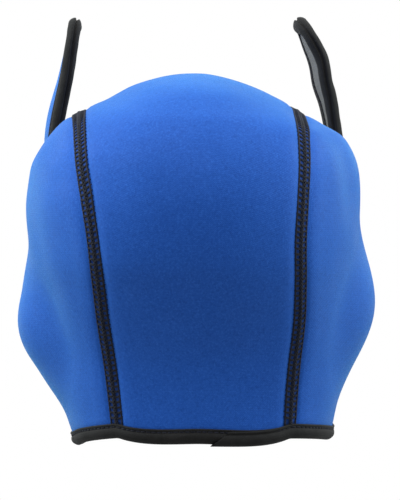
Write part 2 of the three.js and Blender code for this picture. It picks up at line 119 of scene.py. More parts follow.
# The chin tabs: y and height of the middle line, half-width, place of the rear edge across
# the head, how much further out the front edge is, and how far the middle bulges
TABS = {
    "left": np.array([
        (-41, -33, 24, 67, -8, 0),
        (-60, -28, 21.5, 70, -5, 1),
        (-73.9, -14, 20, 73, -2.5, 2),
        (-79, 5, 19, 75.2, -0.5, 3.2),
        (-80, 27, 19, 76.4, 1, 4.5),
        (-79, 50, 19, 74.6, 1.5, 4.5),
        (-77, 75, 19, 70.8, 1.7, 5.4),
        (-75.5, 100, 19, 66.8, 1.7, 3),
        (-75, 124, 19, 62.6, 1.7, 0.6),
    ], float),
    "right": np.array([
        (-41, -33, 24, 67, -8, 0),
        (-60, -28, 21.5, 70, -5, 1),
        (-73.9, -14, 20, 73, -2.5, 2),
        (-79, 5, 19, 75.2, -1.5, 2.4),
        (-80, 27, 19, 76.4, -1.5, 2.5),
        (-79, 50, 19, 74.4, -1.5, 2.2),
        (-77, 75, 19, 71, -2.3, 2),
        (-75.5, 100, 19, 66.4, -4.2, 0.5),
        (-75, 124, 19, 52.6, 1, 0),
    ], float),
}
# Creases across a tab, a millimetre deep at most: height, reach, and how far outward
TAB_KINKS = {
    "left": [(66, 13, 0.6), (92, 9, -0.3)],
    "right": [(91, 7, -1.0), (104, 6, 0.5)],
}
SIDES = {"left": 1, "right": -1}


# Reading tables smoothly
def read_table(keys, values, at):
    """A smooth curve through the values, read at any number of keys; keys rise."""
    keys = np.asarray(keys, float)
    values = np.asarray(values, float)
    slopes = np.empty_like(values)
    slopes[1:-1] = (values[2:] - values[:-2]) / (keys[2:] - keys[:-2])
    slopes[0] = (values[1] - values[0]) / (keys[1] - keys[0])
    slopes[-1] = (values[-1] - values[-2]) / (keys[-1] - keys[-2])
    at = np.clip(np.asarray(at, float), keys[0], keys[-1])
    i = np.clip(np.searchsorted(keys, at) - 1, 0, len(keys) - 2)
    span = keys[i + 1] - keys[i]
    t = (at - keys[i]) / span
    return (
        values[i] * (1 + 2 * t) * (1 - t) ** 2
        + slopes[i] * span * t * (1 - t) ** 2
        + values[i + 1] * t * t * (3 - 2 * t)
        + slopes[i + 1] * span * t * t * (t - 1)
    )


# The squares of the half-widths and depths, read once at close heights
LOWEST, HEIGHT_STEP = -110, 0.05
HEIGHTS = np.arange(LOWEST, CROWN_HEIGHT + 0.01, HEIGHT_STEP)
RISING = SECTIONS[::-1]
SQUARES = {
    name: np.maximum(read_table(RISING[:, 0], RISING[:, k] ** 2, HEIGHTS), 1e-6)
    for k, name in enumerate(("left", "right", "back", "front"), 1)
}


def smooth(x, low, high):
    t = np.clip((x - low) / (high - low), 0, 1)
    return t * t * (3 - 2 * t)


def unit(vectors):
    return vectors / np.linalg.norm(vectors, axis=-1, keepdims=True)


def read_line(where, at, values):
    """Points or directions read between their places along a line."""
    return np.stack([np.interp(where, at, values[:, k]) for k in range(3)], -1)


def form_level(p):
    """Under 1 inside the outer form, 1 on it."""
    x, y, z = p[..., 0], p[..., 1], p[..., 2]
    left, right, back, front = (np.interp(z, HEIGHTS, squares) for squares in SQUARES.values())
    width = np.where(x > 0, left, right)
    depth = np.where(y > 0, back, front)
    half = SQUARENESS / 2
    level = (x * x / width) ** half + (y * y / depth) ** half
    return np.where(z >= CROWN_HEIGHT, 10.0, level)


# A length outside the form everywhere, and how often it is halved
FAR = 150.0
HALVINGS = 34


def cross_form(point_at, count):
    """The places where rays cross the form; point_at takes one length for each ray."""
    low = np.zeros(count)
    high = np.full(count, FAR)
    for _ in range(HALVINGS):
        middle = (low + high) / 2
        inside = form_level(point_at(middle)) < 1
        low = np.where(inside, middle, low)
        high = np.where(inside, high, middle)
    return point_at((low + high) / 2)


def on_form_by_direction(directions):
    ways = unit(directions)
    return cross_form(lambda r: ways * r[:, None], len(ways))


def on_form_by_angle(x, angle):
    """Points at a place across and an angle over the crown: 0 front level, 180 back level."""
    turn = np.radians(angle)
    return cross_form(lambda r: np.stack([x, -r * np.cos(turn), r * np.sin(turn)], -1), len(x))


def on_form_from_side(sign, y, height):
    return cross_form(lambda r: np.stack([sign * r, y, height], -1), len(y))


def on_form_by_height(x, height, sign):
    """The point in front of the head, at sign -1, or behind it, at sign 1."""
    point = cross_form(lambda r: np.stack([x + 0 * r, sign * r, height + 0 * r], -1), 1)
    return point[0]


def angle_over(point):
    return math.degrees(math.atan2(point[2], -point[1])) % 360


def form_normal(p):
    """The way out of the form, from its slope; straight up within pole of the crown's top."""
    step, pole = 0.4, 1.5
    slope = np.empty_like(p)
    for axis in (0, 1):
        shift = np.zeros(3)
        shift[axis] = step
        slope[:, axis] = (form_level(p + shift) - form_level(p - shift)) / (2 * step)
    above = p.copy()
    below = p.copy()
    above[:, 2] = np.minimum(above[:, 2] + step, CROWN_HEIGHT - 0.05)
    below[:, 2] -= step
    slope[:, 2] = (form_level(above) - form_level(below)) / (above[:, 2] - below[:, 2])
    top = np.hypot(p[:, 0], p[:, 1]) < pole
    slope[top] = (0, 0, 1)
    return unit(slope)


def swell_at(p):
    """How far the swells lift each point; they grow from nothing at 20 across to full at 60."""
    total = np.zeros(len(p))
    for side, y, height, reach_y, reach_z, rise in SWELLS:
        away = np.hypot((p[:, 1] - y) / reach_y, (p[:, 2] - height) / reach_z)
        outward = smooth(p[:, 0] * side, 20, 60)
        total += rise * outward * np.where(away < 1, np.cos(np.minimum(away, 1) * math.pi / 2) ** 2, 0)
    return total


def outer_skin(p):
    """The outer face over points of the plain form, with the way out of it."""
    normal = form_normal(p)
    return p + normal * swell_at(p)[:, None], normal


def to_frame(p):
    """Millimetres above the ear line to metres in the frame."""
    out = np.asarray(p, float) * 0.001
    out[..., 2] -= (CROWN_HEIGHT - WALL) * 0.001
    return out


# Seams and edges as curves on the form
def seam_half(name, angle):
    return read_table(SEAMS[:, 0], SEAMS[:, 1 if name == "left" else 2], angle)


def seam_ends(name):
    """The angles over the crown at which a seam meets the brow edge and the nape hem."""
    near_brow, near_nape = 35, 240
    sign = SIDES[name]
    front = angle_over(on_form_by_height(sign * seam_half(name, near_brow), BROW_SEAM, -1))
    back = angle_over(on_form_by_height(sign * seam_half(name, near_nape), NAPE_SEAM, 1))
    return front, back


def seam_points(name, parts, shift=0.0):
    """Points of a seam's line, at parts of the way from brow to nape."""
    front, back = seam_ends(name)
    angle = front + (back - front) * parts
    return on_form_by_angle(SIDES[name] * seam_half(name, angle) + shift, angle)


def spline(points, places):
    """A smooth curve through points with equal steps of the parameter, as a list of places."""
    points = np.asarray(points, float)
    last = len(points) - 1
    place = np.clip(np.asarray(places, float), 0, 1) * last
    i = np.minimum(place.astype(int), last - 1)
    t = (place - i)[:, None]
    before = points[np.maximum(i - 1, 0)]
    start, end = points[i], points[i + 1]
    after = points[np.minimum(i + 2, last)]
    v0, v1 = (end - before) / 2, (after - start) / 2
    return (
        start
        + v0 * t
        + (3 * (end - start) - 2 * v0 - v1) * t ** 2
        + (2 * (start - end) + v0 + v1) * t ** 3
    )


def lengths_along(points):
    return np.concatenate([[0], np.cumsum(np.linalg.norm(np.diff(points, axis=0), axis=1))])


def evenly(points, count):
    at = lengths_along(points)
    return read_line(np.linspace(0, at[-1], count), at, points)


def side_edge(name):
    """The free edge of a side panel in three fine runs: cheek, tab root, jaw with hem."""
    sign = SIDES[name]
    corner = seam_points(name, np.array([0.0]))[0]
    nape = seam_points(name, np.array([1.0]))[0]
    route = [corner[1:], *CHEEK_EDGE, *TAB_ROOT_EDGE, *JAW_EDGE[name], nape[1:]]
    knots = len(route) - 1
    cuts = [0, len(CHEEK_EDGE) / knots, (len(CHEEK_EDGE) + len(TAB_ROOT_EDGE) + 1) / knots, 1]
    runs = []
    for start, end in zip(cuts, cuts[1:]):
        flat = spline(route, np.linspace(start, end, 500))
        runs.append(on_form_from_side(sign, flat[:, 0], flat[:, 1]))
    runs[0][0] = corner
    runs[2][-1] = nape
    return runs


EDGES = {name: side_edge(name) for name in SIDES}


# Meshes
def make_object(name, points, faces, materials, face_materials=None, smooth_faces=True, flat_uv=None):
    """An object from points in millimetres; flat_uv gives each point's place on the flat cloth."""
    mesh = bpy.data.meshes.new(name)
    mesh.from_pydata([tuple(p) for p in to_frame(points)], [], [tuple(f) for f in faces])
    for material in materials:
        mesh.materials.append(material)
    if face_materials is not None:
        mesh.polygons.foreach_set("material_index", np.asarray(face_materials, np.int32))
    mesh.polygons.foreach_set("use_smooth", [smooth_faces] * len(mesh.polygons))
    if flat_uv is not None:
        layer = mesh.uv_layers.new(name="cloth")
        loops = np.empty(len(mesh.loops), np.int32)
        mesh.loops.foreach_get("vertex_index", loops)
        layer.data.foreach_set("uv", np.asarray(flat_uv, np.float32)[loops].ravel())
    mesh.validate()
    obj = bpy.data.objects.new(name, mesh)
    bpy.context.scene.collection.objects.link(obj)
    return obj


def grid_quads(index):
    """The four-sided faces between neighbours in a grid of point numbers."""
    return np.stack([index[:-1, :-1], index[:-1, 1:], index[1:, 1:], index[1:, :-1]], -1).reshape(-1, 4)


def sheet_object(name, outer, inner, materials, uv):
    """A closed sheet from two grids of points with the same rows and columns, outer face first."""
    count = outer.shape[0] * outer.shape[1]
    index = np.arange(count).reshape(outer.shape[:2])
    quads = grid_quads(index)
    border = np.concatenate([index[0, :-1], index[:-1, -1], index[-1, :0:-1], index[:0:-1, 0]])
    points = np.concatenate([outer.reshape(-1, 3), inner.reshape(-1, 3)])
    sample = quads[len(quads) // 2]
    corners = points[sample]
    facing = np.cross(corners[1] - corners[0], corners[3] - corners[0])
    if facing @ (corners[0] - points[sample[0] + count]) < 0:
        quads = quads[:, ::-1]
        border = border[::-1]
    following = np.roll(border, -1)
    walls = np.stack([border, border + count, following + count, following], -1)
    faces = np.concatenate([quads, quads[:, ::-1] + count, walls])
    slots = np.concatenate([np.zeros(len(quads)), np.ones(len(quads)), np.zeros(len(walls))])
    both_uv = np.concatenate([uv.reshape(-1, 2)] * 2) * 0.001
    obj = make_object(name, points, faces, materials, slots, flat_uv=both_uv)
    weld(obj)
    return obj


def weld(obj):
    """Joins points that coincide and drops faces without area."""
    mesh = bmesh.new()
    mesh.from_mesh(obj.data)
    bmesh.ops.remove_doubles(mesh, verts=mesh.verts, dist=2e-6)
    bmesh.ops.dissolve_degenerate(mesh, edges=mesh.edges, dist=1e-6)
    mesh.to_mesh(obj.data)
    mesh.free()


def tubes(paths, radius, across, sides=6):
    """Points and faces of closed tubes along many short paths of the same number of points.
    across is a direction at each point that the section is turned by."""
    paths = np.asarray(paths, float)
    many, steps = paths.shape[:2]
    along = unit(np.gradient(paths, axis=1))
    up = unit(across - (across * along).sum(-1, keepdims=True) * along)
    side = np.cross(along, up)
    turn = np.arange(sides) * 2 * math.pi / sides
    ring = (
        paths[:, :, None]
        + radius * np.cos(turn)[None, None, :, None] * up[:, :, None]
        + radius * np.sin(turn)[None, None, :, None] * side[:, :, None]
    )
    points = ring.reshape(-1, 3)
    base = (np.arange(many) * steps * sides)[:, None, None]
    step = (np.arange(steps - 1) * sides)[None, :, None]
    k = np.arange(sides)[None, None, :]
    n = (np.arange(sides) + 1)[None, None, :] % sides
    a, b = base + step + k, base + step + n
    quads = np.stack([a, b, b + sides, a + sides], -1).reshape(-1, 4)
    starts = (base + np.arange(sides)[::-1][None, None, :]).reshape(many, sides)
    ends = (base + (steps - 1) * sides + k).reshape(many, sides)
    return points, [*quads.tolist(), *starts.tolist(), *ends.tolist()]


def joined(parts):
    """One list of points and one of faces from several of each."""
    points, faces, total = [], [], 0
    for some_points, some_faces in parts:
        points.append(some_points)
        faces.extend([[i + total for i in face] for face in some_faces])
        total += len(some_points)
    return np.concatenate(points), faces


# The sheets of neoprene
SEAM_GAP = 0.4
# How far the tape presses in each face of the sheet, and up to where from the edge
PRESS_DEPTH = 0.4
PRESS_FULL, PRESS_END = 0.5, 9.0
# How far the cloth sinks at a seam, where it is sunk fully and no more, and the rise beside it
SEAM_SINK = 0.75
SINK_FULL, SINK_END = 2.8, 6.0
SEAM_RISE, RISE_PLACE, RISE_WIDTH = 0.3, 9, 4.5
# Points handled at once when distances are measured
BATCH = 2000


def near_distance(points, line):
    """Each point's distance to the nearest point of a line, in parts to save memory."""
    away = np.empty(len(points))
    for start in range(0, len(points), BATCH):
        part = points[start:start + BATCH]
        gaps = np.linalg.norm(part[:, None] - line[None], axis=2)
        away[start:start + BATCH] = gaps.min(axis=1)
    return away


def under_tape(away):
    """1 where the tape presses the sheet fully, 0 beyond its reach."""
    return 1 - smooth(away, PRESS_FULL, PRESS_END)


def centre_grid(rows, columns):
    """Rows across the head from seam to seam, from the brow edge over the crown to the nape."""
    front_left, back_left = seam_ends("left")
    front_right, back_right = seam_ends("right")
    front_middle = angle_over(on_form_by_height(0.0, BROW_CENTRE, -1))
    back_middle = angle_over(on_form_by_height(0.0, NAPE_CENTRE, 1))
    across = np.linspace(0, 1, columns)[None, :]
    along = np.linspace(0, 1, rows)[:, None]
    dip = 4 * across * (1 - across)
    front = front_right + (front_left - front_right) * across
    front = front + dip * (front_middle - (front_left + front_right) / 2)
    back = back_right + (back_left - back_right) * across
    back = back + dip * (back_middle - (back_left + back_right) / 2)
    angle = front + (back - front) * along
    left = seam_half("left", angle) - SEAM_GAP / 2
    right = -seam_half("right", angle) + SEAM_GAP / 2
    x = right + (left - right) * across
    return on_form_by_angle(x.ravel(), angle.ravel()).reshape(rows, columns, 3)


def side_grid(name, rows, columns):
    """Rulings from the seam to the free edge, drawn together at the brow and nape corners."""
    seam = evenly(seam_points(name, np.linspace(0, 1, 700), SIDES[name] * SEAM_GAP / 2), rows)
    edge = evenly(np.concatenate(EDGES[name]), rows)
    start, end = unit(seam), unit(edge)
    between = np.arccos(np.clip((start * end).sum(1), -1, 1))[:, None, None]
    between = np.maximum(between, 1e-3)
    t = np.linspace(0, 1, columns)[None, :, None]
    directions = (
        np.sin((1 - t) * between) * start[:, None] + np.sin(t * between) * end[:, None]
    ) / np.sin(between)
    return on_form_by_direction(directions.reshape(-1, 3)).reshape(rows, columns, 3)


SEAM_LINES = {name: seam_points(name, np.linspace(0, 1, 420)) for name in SIDES}
WAVE_COUNT, WAVE_TURN, WAVE_HEIGHT = 7, 0.16, 0.09
WAVES = rng.uniform(-1, 1, (WAVE_COUNT, 3))
WAVES *= (WAVE_TURN / np.linalg.norm(WAVES, axis=1))[:, None]
PHASES = rng.uniform(0, 2 * math.pi, WAVE_COUNT)


def soft_waves(points):
    """A gentle unevenness of the cloth, about 4 centimetres from crest to crest."""
    total = np.zeros(len(points))
    for wave, phase in zip(WAVES, PHASES):
        total += np.sin(points @ wave + phase)
    return WAVE_HEIGHT * total


def relief(points, tape_line):
    """How far the outer face lies off the plain form, and how far the tape presses each face in."""
    lift = soft_waves(points)
    for line in SEAM_LINES.values():
        away = near_distance(points, line)
        sink = SEAM_SINK * (1 - smooth(away, SINK_FULL, SINK_END))
        lift = lift - sink + SEAM_RISE * np.exp(-((away - RISE_PLACE) / RISE_WIDTH) ** 2)
    pinch = under_tape(near_distance(points, tape_line))
    return lift * (1 - pinch), PRESS_DEPTH * pinch


def panel_faces(grid, tape_line):
    """The outer and inner faces of a sheet on the form."""
    points = grid.reshape(-1, 3)
    skin, normal = outer_skin(points)
    lift, pinch = relief(points, tape_line)
    outer = skin + normal * (lift - pinch)[:, None]
    inner = skin + normal * (pinch - WALL)[:, None]
    return outer.reshape(grid.shape), inner.reshape(grid.shape)


def on_middle(points):
    """The middle of the sheet over points of the plain form, with the way out of it."""
    skin, normal = outer_skin(points)
    return skin - normal * WALL / 2, normal


# The chin tabs
GRID_STEP = 2.0
TAB_COLUMNS = 24
TIP_ROWS = 13
# How far from its root a tab's way out turns from the side panel's to its own
ROOT_TURN = 12


def tab_reader(name):
    """Readers of a tab's middle, its way out and how far it reaches across, and its length.
    A place runs from 0 at the root to 1 at the tip, and v from -1 to 1 across."""
    table = TABS[name]
    keys = np.linspace(0, 1, len(table))
    sign = SIDES[name]
    fine = spline(table[:, :2], np.linspace(0, 1, 400))
    length = float(np.linalg.norm(np.diff(fine, axis=0), axis=1).sum())

    def flat_tab(place, v):
        step = 1e-3
        ahead = unit(spline(table[:, :2], place + step) - spline(table[:, :2], place - step))
        half, across, toe, bulge = (read_table(keys, table[:, k], place) for k in (2, 3, 4, 5))
        middle = spline(table[:, :2], place)
        y = middle[:, 0] + ahead[:, 1] * v * half
        z = middle[:, 1] - ahead[:, 0] * v * half
        x = across + toe * (1 - v) / 2 + bulge * (1 - v * v)
        for height, reach, rise in TAB_KINKS[name]:
            x = x + rise * np.exp(-((z - height) / reach) ** 2)
        return np.stack([sign * x, y, z], 1)

    root = EDGES[name][1][::-1]
    root_middle, root_normal = on_middle(root)
    root_v = np.linspace(-1, 1, len(root))
    shift = root_middle - flat_tab(np.zeros(len(root)), root_v)

    def point_at(place, v):
        t = np.clip(place * length / ROOT_BLEND, 0, 1)
        blend = t * t * t * (t * (6 * t - 15) + 10)
        return flat_tab(place, v) + read_line(v, root_v, shift) * (1 - blend)[:, None]

    def normal_at(place, v):
        step = 0.01
        up = point_at(np.minimum(place + step, 1), v) - point_at(np.maximum(place - step, 0), v)
        back = point_at(place, v + step) - point_at(place, v - step)
        normal = unit(np.cross(back, up) * sign)
        join = smooth(place * length, 0, ROOT_TURN)[:, None]
        return unit(normal * join + read_line(v, root_v, root_normal) * (1 - join))

    def reach_at(place):
        """The share of the half-width that is left at the tip's round corners."""
        half = read_table(keys, table[:, 2], place)
        round_part = np.maximum(TAB_CORNER - (1 - place) * length, 0)
        return (half - TAB_CORNER + np.sqrt(np.maximum(TAB_CORNER ** 2 - round_part ** 2, 0))) / half

    return point_at, normal_at, reach_at, length


def tab_grid(name):
    """The middle of a tab and its way out, in rows from root to tip, closer in the corners."""
    point_at, normal_at, reach_at, length = tab_reader(name)
    tip = 1 - TAB_CORNER / length
    straight = np.linspace(0, tip, int(length / GRID_STEP), endpoint=False)
    corner = tip + (1 - tip) * np.sin(np.linspace(0, math.pi / 2, TIP_ROWS))
    places = np.concatenate([straight, corner])
    v = reach_at(places)[:, None] * np.linspace(-1, 1, TAB_COLUMNS + 1)[None, :]
    place = np.broadcast_to(places[:, None], v.shape)
    points = point_at(place.ravel(), v.ravel()).reshape(*v.shape, 3)
    normals = normal_at(place.ravel(), v.ravel()).reshape(*v.shape, 3)
    return points, normals


TAB_SHEETS = {name: tab_grid(name) for name in SIDES}


# The paths of the tape
def tab_run(name):
    """A tab's border from the cheek: up its rear edge, over the tip and down the front edge."""
    points, normals = TAB_SHEETS[name]
    way = [(slice(None), -1), (-1, slice(-2, 0, -1)), (slice(None, None, -1), 0)]
    return np.concatenate([points[w] for w in way]), np.concatenate([normals[w] for w in way])


def backwards(run):
    return run[0][::-1], run[1][::-1]


BROW_AND_HEM = centre_grid(2, 120)
PATH_STEP = 1.2
# How far a tape's end runs on over the cloth, past the corner between cheek and tab
END_OVERLAP = 3.0
# How far from the open corner between tab and jaw the tape begins to turn
CORNER_REACH = 8.0
# The runs lie in the middle of the sheet: one path goes round both tabs, the jaws and the hem,
# and one over the brow from cheek to cheek
HEM_RUNS = [
    tab_run("left"),
    on_middle(EDGES["left"][2]),
    on_middle(BROW_AND_HEM[1][::-1]),
    backwards(on_middle(EDGES["right"][2])),
    backwards(tab_run("right")),
]
BROW_RUNS = [
    backwards(on_middle(EDGES["right"][0])),
    on_middle(BROW_AND_HEM[0]),
    on_middle(EDGES["left"][0]),
]


def rolling(values, window):
    """A moving average along an open path, which keeps the path's ends."""
    padded = np.concatenate([values[:1]] * window + [values] + [values[-1:]] * window)
    return sum(padded[k:k + len(values)] for k in range(2 * window + 1)) / (2 * window + 1)


def overlapped(points, normals):
    """The run with a straight length added at both ends."""
    before = points[0] - unit(points[3] - points[0]) * END_OVERLAP
    after = points[-1] + unit(points[-1] - points[-4]) * END_OVERLAP
    return np.concatenate([[before], points, [after]]), np.concatenate([normals[:1], normals, normals[-1:]])


def tape_path(runs, open_corners):
    """A path's even stations, its directions along, inward and outward, and where its runs end."""
    points, normals = overlapped(*(np.concatenate([run[k] for run in runs]) for k in (0, 1)))
    at = lengths_along(points)
    ends = at[np.cumsum([len(run[0]) for run in runs])]
    count = int(at[-1] / PATH_STEP)
    want = np.linspace(0, at[-1], count)

    path = read_line(want, at, points)
    way = read_line(want, at, normals)
    for end in ends[open_corners]:
        inside = np.abs(want - end) < CORNER_REACH
        t = ((want[inside] - end) / CORNER_REACH + 1)[:, None] / 2
        around = end + np.array([-CORNER_REACH, 0, CORNER_REACH])
        a, b, c = read_line(around, at, points)
        path[inside] = a * (1 - t) ** 2 + 2 * b * t * (1 - t) + c * t * t
        n, _, m = read_line(around, at, normals)
        way[inside] = n * (1 - t) + m * t
    path = rolling(path, 1)
    along = unit(np.gradient(path, axis=0))
    inward = unit(rolling(np.cross(unit(rolling(way, 3)), along), 1))
    outward = unit(np.cross(along, inward))
    marks = np.round(ends / at[-1] * (count - 1)).astype(int)
    return path, along, inward, outward, marks


HEM_PATH = tape_path(HEM_RUNS, [0, 3])
BROW_PATH = tape_path(BROW_RUNS, [])
PATH, ALONG, INWARD, OUTWARD = (np.concatenate([HEM_PATH[k], BROW_PATH[k]]) for k in range(4))
HEM_MARKS = HEM_PATH[4]
BROW_START = len(HEM_PATH[0])
EDGE_LINE = PATH + OUTWARD * WALL / 2


def tab_faces(points, normals):
    """The outer and inner faces of a tab, pressed thinner under its tape."""
    rim = near_distance((points + normals * WALL / 2).reshape(-1, 3), EDGE_LINE)
    half = (WALL / 2 - PRESS_DEPTH * under_tape(rim)).reshape(points.shape[:2])[..., None]
    return points + normals * half, points - normals * half


# Rows and columns of the panels
CENTRE_SIZE = (156, 58)
SIDE_SIZE = (150, 72)
SHEETS = {"centre_panel": panel_faces(centre_grid(*CENTRE_SIZE), EDGE_LINE)}
for side_name in SIDES:
    SHEETS[f"side_panel_{side_name}"] = panel_faces(side_grid(side_name, *SIDE_SIZE), EDGE_LINE)
for side_name in SIDES:
    SHEETS[f"chin_tab_{side_name}"] = tab_faces(*TAB_SHEETS[side_name])


def flat_places(name, grid):
    """Where each point lies on the flat cloth: a side piece is taken as it is seen from the side."""
    if name != "centre_panel":
        return grid[..., 1:]
    steps = np.linalg.norm(np.diff(grid, axis=1), axis=2)
    across = np.concatenate([np.zeros((len(grid), 1)), np.cumsum(steps, axis=1)], axis=1)
    across -= across[:, [grid.shape[1] // 2]]
    along = lengths_along(grid[:, grid.shape[1] // 2])
    return np.stack([across, np.broadcast_to(along[:, None], across.shape)], -1)


# Materials
def new_material(name, colour, roughness, specular, sheen=0.0, sheen_roughness=0.5, sheen_tint=(1, 1, 1)):
    material = bpy.data.materials.new(name)
    material.use_nodes = True
    shader = material.node_tree.nodes["Principled BSDF"]
    shader.inputs["Base Color"].default_value = (*colour, 1)
    shader.inputs["Roughness"].default_value = roughness
    shader.inputs["Specular IOR Level"].default_value = specular
    shader.inputs["Sheen Weight"].default_value = sheen
    shader.inputs["Sheen Roughness"].default_value = sheen_roughness
    shader.inputs["Sheen Tint"].default_value = (*sheen_tint, 1)
    return material, material.node_tree, shader


def feed(tree, socket, value):
    """Links a socket to another node's output, or sets it to a number or a colour."""
    if isinstance(value, bpy.types.NodeSocket):
        tree.links.new(value, socket)
    else:
        socket.default_value = value


def add_node(tree, kind, **inputs):
    node = tree.nodes.new(kind)
    for key, value in inputs.items():
        feed(tree, node.inputs[key], value)
    return node


def noise(tree, place, scale, detail=2.0, roughness=0.5):
    node = add_node(
        tree, "ShaderNodeTexNoise", Vector=place, Scale=scale, Detail=detail, Roughness=roughness
    )
    return node.outputs["Fac"]


def math_node(tree, operation, first, second):
    node = tree.nodes.new("ShaderNodeMath")
    node.operation = operation
    feed(tree, node.inputs[0], first)
    feed(tree, node.inputs[1], second)
    return node.outputs[0]


def mix_colours(tree, factor, first, second):
    node = tree.nodes.new("ShaderNodeMix")
    node.data_type = "RGBA"
    for key, value in (("Factor_Float", factor), ("A_Color", first), ("B_Color", second)):
        socket = next(s for s in node.inputs if s.identifier == key)
        feed(tree, socket, (*value, 1) if isinstance(value, tuple) else value)
    return next(s for s in node.outputs if s.identifier == "Result_Color")


def remap(tree, value, low, high, to_low=0.0, to_high=1.0):
    limits = {"From Min": low, "From Max": high, "To Min": to_low, "To Max": to_high}
    return add_node(tree, "ShaderNodeMapRange", Value=value, **limits).outputs["Result"]


def object_place(tree):
    return tree.nodes.new("ShaderNodeTexCoord").outputs["Object"]


def knit_height(tree, pitch):
    """Jersey loops: legs of small Vs in columns, from the cloth's own flat coordinates."""
    cloth = tree.nodes.new("ShaderNodeUVMap")
    cloth.uv_map = "cloth"
    parts = add_node(tree, "ShaderNodeSeparateXYZ", Vector=cloth.outputs["UV"])
    column = math_node(tree, "MULTIPLY", parts.outputs["X"], 1 / pitch)
    row = math_node(tree, "MULTIPLY", parts.outputs["Y"], 1.25 / pitch)
    saw = math_node(tree, "PINGPONG", column, 0.5)
    slanted = math_node(tree, "ADD", row, math_node(tree, "MULTIPLY", saw, 1.1))
    legs = math_node(tree, "PINGPONG", slanted, 0.5)
    wales = math_node(tree, "PINGPONG", math_node(tree, "ADD", column, 0.25), 0.25)
    high_legs = math_node(tree, "MULTIPLY", legs, 1.2)
    high_wales = math_node(tree, "MULTIPLY", wales, 2.0)
    return math_node(tree, "ADD", high_legs, high_wales)


def bump(tree, shader, height, depth, strength):
    node = add_node(tree, "ShaderNodeBump", Strength=strength, Distance=depth, Height=height)
    tree.links.new(node.outputs["Normal"], shader.inputs["Normal"])


def blue_neoprene():
    material, tree, shader = new_material(
        "blue_neoprene", (0.035, 0.15, 0.6), 0.6, 0.1, 0.32, 0.4, (0.25, 0.8, 1)
    )
    place = object_place(tree)
    cloudy = remap(tree, noise(tree, place, 16, 4, 0.6), 0.3, 0.7)
    colour = mix_colours(tree, cloudy, (0.0145, 0.087, 0.43), (0.0185, 0.107, 0.505))
    knit = knit_height(tree, 0.0011)
    # Painted shade: the colour is darkened in the knit's hollows, where its loops lie low.
    colour = mix_colours(tree, remap(tree, knit, 0.2, 1.0, 0.26, 0.0), colour, (0.006, 0.05, 0.3))
    heather = remap(tree, noise(tree, place, 1000, 3, 0.75), 0.46, 0.7, 0.0, 0.5)
    colour = mix_colours(tree, heather, colour, (0.033, 0.155, 0.62))
    shade = remap(tree, noise(tree, place, 620, 3, 0.75), 0.5, 0.28, 0.0, 0.45)
    colour = mix_colours(tree, shade, colour, (0.006, 0.045, 0.27))
    lint = add_node(tree, "ShaderNodeTexVoronoi", Vector=place, Scale=38)
    rare = math_node(tree, "GREATER_THAN", lint.outputs["Color"], 0.93)
    small = remap(tree, lint.outputs["Distance"], 0.014, 0.022, 1.0, 0.0)
    fleck = math_node(tree, "MULTIPLY", rare, small)
    colour = mix_colours(tree, fleck, colour, (0.35, 0.42, 0.5))
    tree.links.new(colour, shader.inputs["Base Color"])
    tree.links.new(remap(tree, noise(tree, place, 60, 3), 0.3, 0.7, 0.55, 0.68), shader.inputs["Roughness"])
    grain = noise(tree, place, 1400, 2, 0.6)
    height = math_node(tree, "ADD", knit, math_node(tree, "MULTIPLY", grain, 0.9))
    bump(tree, shader, height, 0.00016, 0.55)
    return material


def grey_lining():
    material, tree, shader = new_material("grey_lining", (0.15, 0.15, 0.165), 0.85, 0.1, 0.12, 0.5)
    place = object_place(tree)
    soft = remap(tree, noise(tree, place, 30, 2, 0.5), 0.2, 0.8)
    colour = mix_colours(tree, soft, (0.118, 0.116, 0.112), (0.142, 0.139, 0.134))
    grain = remap(tree, noise(tree, place, 800, 3, 0.75), 0.3, 0.7)
    colour = mix_colours(tree, grain, colour, (0.18, 0.177, 0.17))
    knit = knit_height(tree, 0.0014)
    # Painted shade: the colour is darkened in the knit's hollows, where its loops lie low.
    colour = mix_colours(tree, remap(tree, knit, 0.2, 1.0, 0.35, 0.0), colour, (0.07, 0.07, 0.068))
    tree.links.new(colour, shader.inputs["Base Color"])
    height = math_node(tree, "ADD", knit, noise(tree, place, 1100, 2, 0.7))
    bump(tree, shader, height, 0.0002, 0.7)
    return material


def black_tape():
    material, tree, shader = new_material("black_tape", (0.013, 0.013, 0.0145), 0.75, 0.12, 0.04, 0.5)
    place = object_place(tree)
    soft = remap(tree, noise(tree, place, 70, 4, 0.65), 0.3, 0.7)
    colour = mix_colours(tree, soft, (0.008, 0.008, 0.0082), (0.019, 0.0185, 0.0185))
    fuzz = remap(tree, noise(tree, place, 1500, 2, 0.8), 0.55, 0.8, 0.0, 0.5)
    colour = mix_colours(tree, fuzz, colour, (0.05, 0.05, 0.054))
    tree.links.new(colour, shader.inputs["Base Color"])
    weave = noise(tree, place, 1300, 3, 0.7)
    bump(tree, shader, weave, 0.00025, 0.7)
    return material


def black_thread():
    colour = (0.0075, 0.0085, 0.0135)
    material, tree, shader = new_material("black_thread", colour, 0.65, 0.15, 0.03, 0.4)
    place = object_place(tree)
    soft = remap(tree, noise(tree, place, 700, 3, 0.6), 0.3, 0.7)
    brighter = tuple(3 * c for c in colour)
    tree.links.new(mix_colours(tree, soft, colour, brighter), shader.inputs["Base Color"])
    bump(tree, shader, noise(tree, place, 2600, 2), 0.0001, 0.6)
    return material


